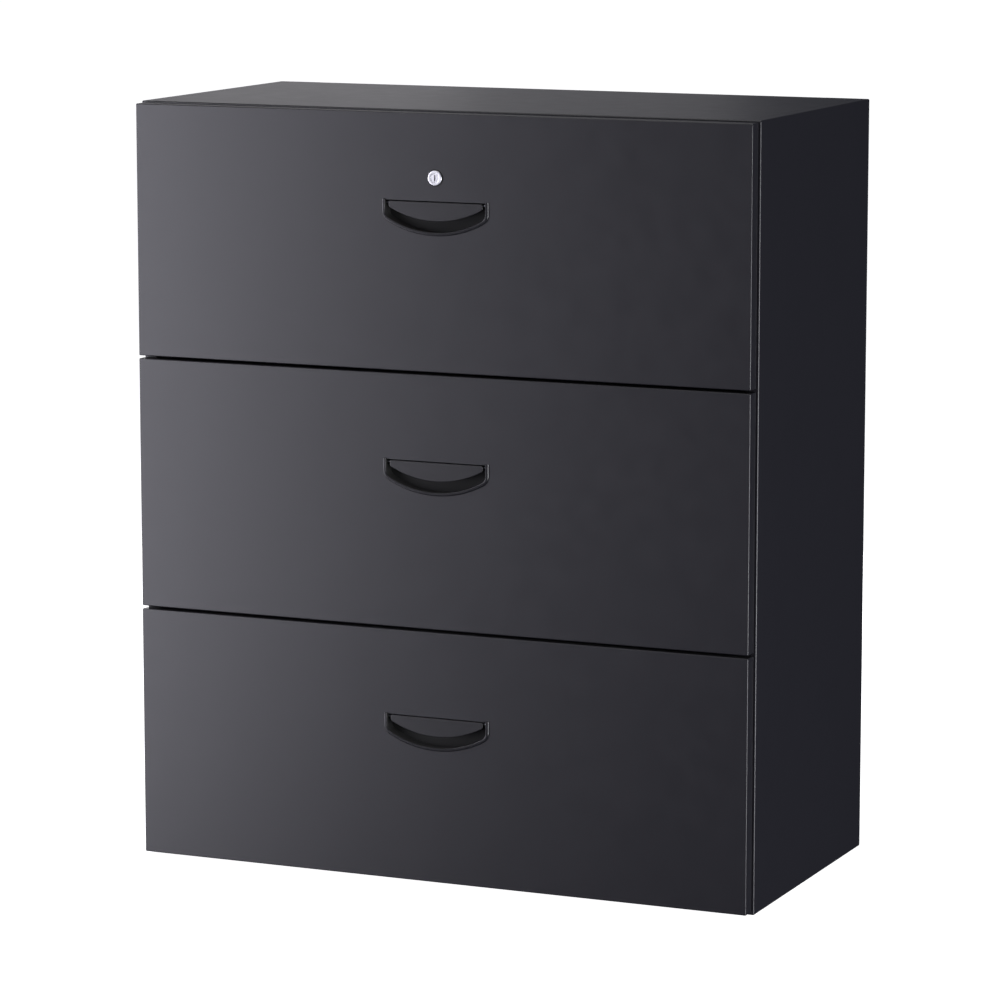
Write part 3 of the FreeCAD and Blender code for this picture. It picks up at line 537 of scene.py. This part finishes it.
def lock_chrome():
    """Nickel-chrome plate with turning marks round the lock's axis and scratches from keys."""
    material, tree, shader = new_material("lock chrome")
    low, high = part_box("lock_housing")
    centre = (low + high) / 2
    local = put(tree, "ShaderNodeMapping", {"Vector": own_position(tree), "Location": -centre},
                vector_type="POINT").outputs[0]
    rings = put(tree, "ShaderNodeTexWave", {"Vector": local, "Scale": 900.0, "Distortion": 2.0,
                                            "Detail": 2.0},
                wave_type="RINGS", rings_direction="Y").outputs["Fac"]
    coat = effect(tree, "uneven_coat", Colour=(0.74, 0.74, 0.76, 1), Roughness=0.33,
                  Tone_Change=0.08, Gloss_Change=0.05, Patch_Scale=180.0)
    scratches = effect(tree, "hairline_scratches", Stretch=(900.0, 900.0, 250.0), Amount=0.6)
    marked = mix_colour(tree, scratches["Mask"], coat["Colour"], (0.45, 0.45, 0.46, 1))
    relief = put(tree, "ShaderNodeBump", {"Height": rings, "Distance": 0.004 * MM, "Strength": 0.4})
    shader.inputs["Metallic"].default_value = 1.0
    feed(tree, shader, Base_Color=marked, Roughness=coat["Roughness"], Normal=relief.outputs[0])
    return material


MATERIALS = {build.__name__: build() for build in (
    case_paint, drawer_paint, zinc_steel, pull_plastic, rim_plastic, cup_inside, lock_chrome)}


def dress(piece, slot):
    piece.data.materials.clear()
    piece.data.materials.append(MATERIALS[slot])


# ---------------------------------------------------------------- pieces


def half_moon(name, width, top, bottom, radius, front):
    """A flat D on its back: a wide disc trimmed along the top and at both sides."""
    bpy.ops.object.select_all(action="DESELECT")
    bpy.ops.mesh.primitive_circle_add(vertices=ARC_STEPS, radius=radius, fill_type="NGON",
                                      location=(0, front, bottom + radius),
                                      rotation=(math.pi / 2, 0, 0))
    piece = bpy.context.object
    piece.name = name
    bpy.ops.object.transform_apply(location=True, rotation=True, scale=True)
    bpy.ops.object.mode_set(mode="EDIT")
    cut_off((0, front, top), (0, 0, 1), False)
    cut_off((width / 2, front, 0), (1, 0, 0), False)
    cut_off((-width / 2, front, 0), (-1, 0, 0), False)
    end_edit()
    return piece


def side_corners(piece, half_width, below):
    """A test for the outline's corner vertices on the two upright sides, below a height."""

    def wanted(vertex):
        return abs(abs(vertex.co.x) - half_width) < NEAR and vertex.co.z < below

    return wanted


def round_corners(piece, wanted, width, steps):
    """Round an outline's corners where its arc has points closer than the rounding is wide."""
    corners = [vertex.co.copy() for vertex in piece.data.vertices if wanted(vertex)]
    start_edit(piece, "VERT", lambda vertex: any(NEAR < (vertex.co - corner).length < CORNER_ROOM
                                                 for corner in corners))
    bpy.ops.mesh.dissolve_verts()
    end_edit()
    bevel(piece, "VERT", wanted, width, steps)


def cup_and_rim(low, high):
    """The moulded cup with its raised rim round the sides and bottom, open above."""
    width, top, bottom, front = high.x - low.x, high.z, low.z, low.y
    sag = top - bottom - PULL_SIDE
    radius = (width ** 2 / 4 + sag ** 2) / (2 * sag)
    piece = half_moon("cup", width, top + MOUTH_RISE, bottom, radius, front)
    round_corners(piece, side_corners(piece, width / 2, top), PULL_CORNER, PULL_CORNER_STEPS)
    start_edit(piece, "FACE", everything)
    push((0, RIM_HEIGHT, 0))
    bpy.ops.mesh.inset(thickness=RIM_WIDTH - CUP_WALL, use_even_offset=True)
    push((0, high.y - low.y - RIM_HEIGHT, 0))
    end_edit()
    start_edit(piece, "FACE", facing_front_at(front))
    bpy.ops.mesh.inset(thickness=RIM_WIDTH, use_even_offset=True)
    push((0, high.y - low.y - CUP_WALL, 0))
    end_edit()
    face_outwards(piece)
    start_edit(piece, "FACE", everything)
    cut_off((0, 0, top), (0, 0, 1), True)
    end_edit()

    def way_in(point):
        from_centre = math.hypot(point.x, point.z - bottom - radius)
        return min(width / 2 - abs(point.x), radius - from_centre)

    def on_rim(edge, inner):
        points = ends(piece, edge)
        at_front = all(abs(point.y - front) < NEAR for point in points)
        at_top = all(abs(point.z - top) < NEAR for point in points)
        same_side = all((way_in(point) > RIM_WIDTH / 2) == inner for point in points)
        return at_front and not at_top and same_side

    bevel(piece, "EDGE", lambda edge: on_rim(edge, False), RIM_ROUND, RIM_ROUND_STEPS)
    bevel(piece, "EDGE", lambda edge: on_rim(edge, True), RIM_INNER_ROUND, RIM_INNER_ROUND_STEPS)
    return piece


def cup_roof(low, high):
    """The thin wall that closes the top of the cup behind its mouth."""
    front = low.y + RIM_HEIGHT + MOUTH_DEPTH
    half_width = (high.x - low.x) / 2 - RIM_WIDTH
    roof_top = high.z - CUP_TOP_DROP
    bpy.ops.object.select_all(action="DESELECT")
    bpy.ops.mesh.primitive_plane_add(size=1, location=(0, (front + high.y) / 2, roof_top))
    piece = bpy.context.object
    bpy.ops.transform.resize(value=(2 * half_width, high.y - front, 1))
    bpy.ops.object.transform_apply(location=True, rotation=True, scale=True)
    start_edit(piece, "FACE", everything)
    push((0, 0, -CUP_TOP_WALL))
    end_edit()
    face_outwards(piece)
    across_lip = edges_at(piece, 1, front, lambda points: abs(points[0].z - points[1].z) > NEAR)
    bevel(piece, "EDGE", across_lip, CUP_TOP_WALL / 3, CUP_TOP_ROUND_STEPS)
    return piece


def make_housing(level):
    low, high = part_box(f"handle_housing_{level}")
    piece = join(f"pull_housing_{level}", [cup_and_rim(low, high), cup_roof(low, high)])
    shade_smooth(piece)
    dress(piece, "rim_plastic")
    # The faces inside the cup take the cup material, lightened as painted fill light.
    piece.data.materials.append(MATERIALS["cup_inside"])
    for face in piece.data.polygons:
        face.material_index = int(face.center.y > low.y + RIM_HEIGHT)
    return piece


def hinge_barrel(middle, pin_y, pin_z):
    bpy.ops.object.select_all(action="DESELECT")
    bpy.ops.mesh.primitive_cylinder_add(vertices=BARREL_STEPS, radius=BARREL_RADIUS,
                                        depth=BARREL_OUTER - BARREL_INNER,
                                        location=(middle, pin_y, pin_z),
                                        rotation=(0, math.pi / 2, 0))
    piece = bpy.context.object
    bpy.ops.object.transform_apply(location=True, rotation=True, scale=True)
    half = (BARREL_OUTER - BARREL_INNER) / 2

    def round_end(edge):
        return all(abs(abs(point.x - middle) - half) < NEAR for point in ends(piece, edge))

    bevel(piece, "EDGE", round_end, BARREL_RADIUS / 6, CHAMFER_STEPS)
    return piece


def make_paddle(level):
    """The D-shaped flap, with a rounded lower lip for the fingers and two barrels on its pin."""
    low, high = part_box(f"handle_paddle_{level}")
    pin_low, pin_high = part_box(f"paddle_pin_{level}")
    pin = (pin_low + pin_high) / 2
    front = low.y
    plate = half_moon("flap", high.x - low.x, high.z, low.z, PADDLE_ARC, front)
    bevel(plate, "VERT", side_corners(plate, high.x, high.z + NEAR), PADDLE_CORNER,
          PADDLE_CORNER_STEPS)
    start_edit(plate, "FACE", everything)
    push((0, PADDLE_THICKNESS, 0))
    end_edit()
    face_outwards(plate)
    bevel(plate, "EDGE", edges_at(plate, 1, front), PADDLE_ROUND, PADDLE_ROUND_STEPS)
    middle = (BARREL_INNER + BARREL_OUTER) / 2
    barrels = [hinge_barrel(side * middle, pin.y, pin.z) for side in (-1, 1)]
    piece = join(f"pull_flap_{level}", [plate] + barrels)
    shade_smooth(piece)
    dress(piece, "pull_plastic")
    return piece


def round_disc(name, radius, front, height):
    bpy.ops.object.select_all(action="DESELECT")
    bpy.ops.mesh.primitive_circle_add(vertices=LOCK_STEPS, radius=radius, fill_type="NGON",
                                      location=(0, front, height), rotation=(math.pi / 2, 0, 0))
    piece = bpy.context.object
    piece.name = name
    bpy.ops.object.transform_apply(location=True, rotation=True, scale=True)
    return piece


def make_lock_bezel():
    low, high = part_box("lock_housing")
    radius, height, front = (high.x - low.x) / 2, (low.z + high.z) / 2, low.y
    piece = round_disc("lock_bezel", radius, front, height)
    start_edit(piece, "FACE", everything)
    push((0, BEZEL_HEIGHT, 0))
    bpy.ops.mesh.inset(thickness=BARREL_STEP)
    push((0, high.y - low.y - BEZEL_HEIGHT, 0))
    end_edit()
    start_edit(piece, "FACE", facing_front_at(front))
    bpy.ops.mesh.inset(thickness=radius - BORE_RADIUS)
    push((0, BORE_DEPTH, 0))
    end_edit()
    face_outwards(piece)

    def at_front(edge, inside):
        points = ends(piece, edge)
        flat = all(abs(point.y - front) < NEAR for point in points)
        near, far = sorted(math.hypot(point.x, point.z - height) for point in points)
        return flat and far - near < NEAR and (far < (BORE_RADIUS + radius) / 2) == inside

    bevel(piece, "EDGE", lambda edge: at_front(edge, False), BEZEL_ROUND, BEZEL_ROUND_STEPS)
    bevel(piece, "EDGE", lambda edge: at_front(edge, True), BORE_CHAMFER, CHAMFER_STEPS)
    shade_smooth(piece)
    dress(piece, "lock_chrome")
    stand_in(piece, "lock_housing")


def make_lock_shadow_ring():
    """A thin black ring under the bezel's rim, a little wider than the bezel: painted shadow round
    the lock.
    """
    low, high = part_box("lock_housing")
    radius, height, face = (high.x - low.x) / 2, (low.z + high.z) / 2, low.y + BEZEL_HEIGHT
    piece = round_disc("lock_shadow_ring", radius + SHADOW_RING_WIDTH, face - SHADOW_RING_HEIGHT, height)
    start_edit(piece, "FACE", everything)
    push((0, SHADOW_RING_HEIGHT, 0))
    end_edit()
    face_outwards(piece)
    bevel(piece, "EDGE", edges_at(piece, 1, face - SHADOW_RING_HEIGHT), SHADOW_RING_HEIGHT / 2,
          SHADOW_RING_ROUND_STEPS)
    shade_smooth(piece)
    dress(piece, "cup_inside")
    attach(piece, "drawer_upper")


def make_lock_plug():
    """The plug, with a chamfered rim and an upright keyway whose walls are painted black as shade."""
    low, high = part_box("lock_plug")
    height, front = (low.z + high.z) / 2, low.y
    piece = round_disc("lock_core", PLUG_RADIUS, front, height)
    start_edit(piece, "FACE", everything)
    push((0, PLUG_LENGTH, 0))
    end_edit()
    face_outwards(piece)
    bevel(piece, "EDGE", edges_at(piece, 1, front), PLUG_CHAMFER, CHAMFER_STEPS)
    planes = [((side * KEYWAY_WIDTH / 2, front, height), (1, 0, 0)) for side in (-1, 1)]
    planes += [((0, front, height + side * KEYWAY_HEIGHT / 2), (0, 0, 1)) for side in (-1, 1)]
    for point, direction in planes:
        start_edit(piece, "FACE",
                   lambda face: abs(face.center.y - front) < NEAR and face.normal.y < -SQUARE_ON)
        bpy.ops.mesh.bisect(plane_co=point, plane_no=direction)
        end_edit()

    def at_keyway(face):
        across, up = abs(face.center.x), abs(face.center.z - height)
        at_front = abs(face.center.y - front) < NEAR
        return at_front and across < KEYWAY_WIDTH / 4 and up < KEYWAY_HEIGHT / 4

    start_edit(piece, "FACE", at_keyway)
    push((0, KEYWAY_DEPTH, 0))
    end_edit()
    shade_smooth(piece)
    dress(piece, "lock_chrome")
    # The keyway's walls take the black cup material: painted shade for the unlit slot in the chrome
    # plug.
    piece.data.materials.append(MATERIALS["cup_inside"])
    for face in piece.data.polygons:
        across, up = abs(face.center.x), abs(face.center.z - height)
        inside = across < KEYWAY_WIDTH and up < KEYWAY_HEIGHT / 2 + NEAR
        wall = face.center.y > front + NEAR and face.normal.y < SQUARE_ON
        face.material_index = int(inside and wall)
    stand_in(piece, "lock_plug")


def make_pulls():
    """One housing and one flap, copied down to the lower drawers."""
    top_level = LEVELS[-1]
    housing, flap = make_housing(top_level), make_paddle(top_level)
    sources = ((housing, "pull_housing", "handle_housing"), (flap, "pull_flap", "handle_paddle"))
    for level in LEVELS:
        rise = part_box(f"handle_housing_{level}")[1].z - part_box(f"handle_housing_{top_level}")[1].z
        for source, label, node in sources:
            piece = source if level == top_level else copy_piece(source, f"{label}_{level}", rise)
            stand_in(piece, f"{node}_{level}")


def finished_copy(node, slot):
    """A merged copy of a CAD node, so that its bends and rounds shade smoothly."""
    source = frame["nodes"][node]
    piece = bpy.data.objects.new(f"{node}_finished", source.data.copy())
    bpy.context.collection.objects.link(piece)
    start_edit(piece, "FACE", everything)
    bpy.ops.mesh.customdata_custom_splitnormals_clear()
    bpy.ops.mesh.remove_doubles(threshold=NEAR / 10)
    bpy.ops.mesh.dissolve_limited(angle_limit=FLAT_ANGLE)
    end_edit()
    shade_smooth(piece)
    dress(piece, slot)
    stand_in(piece, node)


SHEETS = ["side_panel_left", "side_panel_right", "top_panel", "bottom_panel"]
SHEETS += [f"drawer_front_{level}" for level in LEVELS]
ROUND_PARTS = ("paddle_pin", "latch_shaft", "latch_spring")
ROUND_STEEL = ["lock_cam"] + [f"{part}_{level}" for part in ROUND_PARTS for level in LEVELS]

SLOT_OF = {"drawer_paint": ("front_liner", "drawer_side", "drawer_bottom", "drawer_back"),
           "case_paint": ("side_panel", "top_panel", "bottom_panel", "back_panel", "corner_plates",
                          "drawer_front"),
           "pull_plastic": ("handle_housing", "handle_paddle"),
           "lock_chrome": ("lock_housing", "lock_plug")}


def slot_of(node):
    for slot, starts in SLOT_OF.items():
        if node.startswith(starts):
            return slot
    return "zinc_steel"


def make_pieces():
    for name, node in frame["nodes"].items():
        dress(node, slot_of(name))
    for name in SHEETS:
        finished_copy(name, "case_paint")
    for name in ROUND_STEEL:
        finished_copy(name, "zinc_steel")
    make_pulls()
    make_lock_shadow_ring()
    make_lock_bezel()
    make_lock_plug()


# ---------------------------------------------------------------- studio


def studio_floor():
    bpy.ops.object.select_all(action="DESELECT")
    bpy.ops.mesh.primitive_plane_add(size=FLOOR_SIZE, location=(0, 0, 0))
    floor = bpy.context.object
    floor.name = "studio_floor"
    material, tree, shader = new_material("studio floor")
    shader.inputs["Roughness"].default_value = 0.9
    shader.inputs["Specular IOR Level"].default_value = 0.1
    shader.inputs["Emission Color"].default_value = (1, 1, 1, 1)
    shader.inputs["Emission Strength"].default_value = 1.0
    tone = spread(tree, noise(tree, own_position(tree), 3.0, detail=4.0), 0.3, 0.7, 0.78, 0.82)
    pale = put(tree, "ShaderNodeCombineColor", {"Red": tone, "Green": tone, "Blue": tone})
    feed(tree, shader, Base_Color=pale.outputs[0])
    floor.data.materials.append(material)
    floor.visible_glossy = False
    floor.visible_diffuse = False
    floor.visible_shadow = False


def studio_world():
    world = bpy.data.worlds.new("studio")
    bpy.context.scene.world = world
    world.use_nodes = True
    tree = world.node_tree
    background = tree.nodes["Background"]
    seen = put(tree, "ShaderNodeLightPath").outputs["Is Camera Ray"]
    shade = mix_colour(tree, seen, (0.055, 0.058, 0.075, 1), (2, 2, 2, 1))
    tree.links.new(shade, background.inputs["Color"])
    bpy.context.scene.view_settings.view_transform = "Standard"


def softbox(name, place, aim, width, height, radiance, colour=WHITE):
    """A rectangular light at a place, facing a point, with an even radiance."""
    data = bpy.data.lights.new(name, "AREA")
    data.shape = "RECTANGLE"
    data.size, data.size_y = width, height
    data.energy = radiance * math.pi * width * height
    data.color = colour
    light = bpy.data.objects.new(name, data)
    light.location = place
    light.rotation_euler = (Vector(aim) - Vector(place)).to_track_quat("-Z", "Y").to_euler()
    light.visible_camera = False
    bpy.context.collection.objects.link(light)


def studio_lights():
    softbox("left window", (-2.42, -2.0, 0.8), (-1.02, 0.2, 0.75), 1.9, 3.2, 6.6, DAYLIGHT)
    softbox("back left window", (-2.5, 3.0, 1.4), (-0.75, 0.0, 1.0), 2.0, 1.9, 0.42, WARM_DAYLIGHT)
    softbox("back window", (-2.3, 3.1, 1.4), (-0.7, 0.0, 1.0), 2.8, 1.9, 0.36, WARM_DAYLIGHT)
    softbox("right window", (2.6, -1.3, 0.15), (0.4, -0.25, 0.5), 1.3, 1.5, 15.0, COOL_DAYLIGHT)
    softbox("ceiling", (0.0, -0.4, 3.2), (0.0, -0.2, 0.0), 3.0, 3.0, 1.4)
    softbox("low back window", (-0.75, 2.4, 0.5), (-0.1, 0.2, 0.55), 2.2, 0.9, 5.0)


def studio_camera():
    data = bpy.data.cameras.new("camera")
    data.lens = LENS
    data.sensor_width = SENSOR_WIDTH
    data.clip_end = 100
    camera = bpy.data.objects.new("camera", data)
    camera.location = CAMERA_PLACE
    camera.rotation_euler = (CAMERA_TILT, 0, CAMERA_TURN)
    bpy.context.collection.objects.link(camera)
    bpy.context.scene.camera = camera


make_pieces()
studio_floor()
studio_world()
studio_lights()
studio_camera()
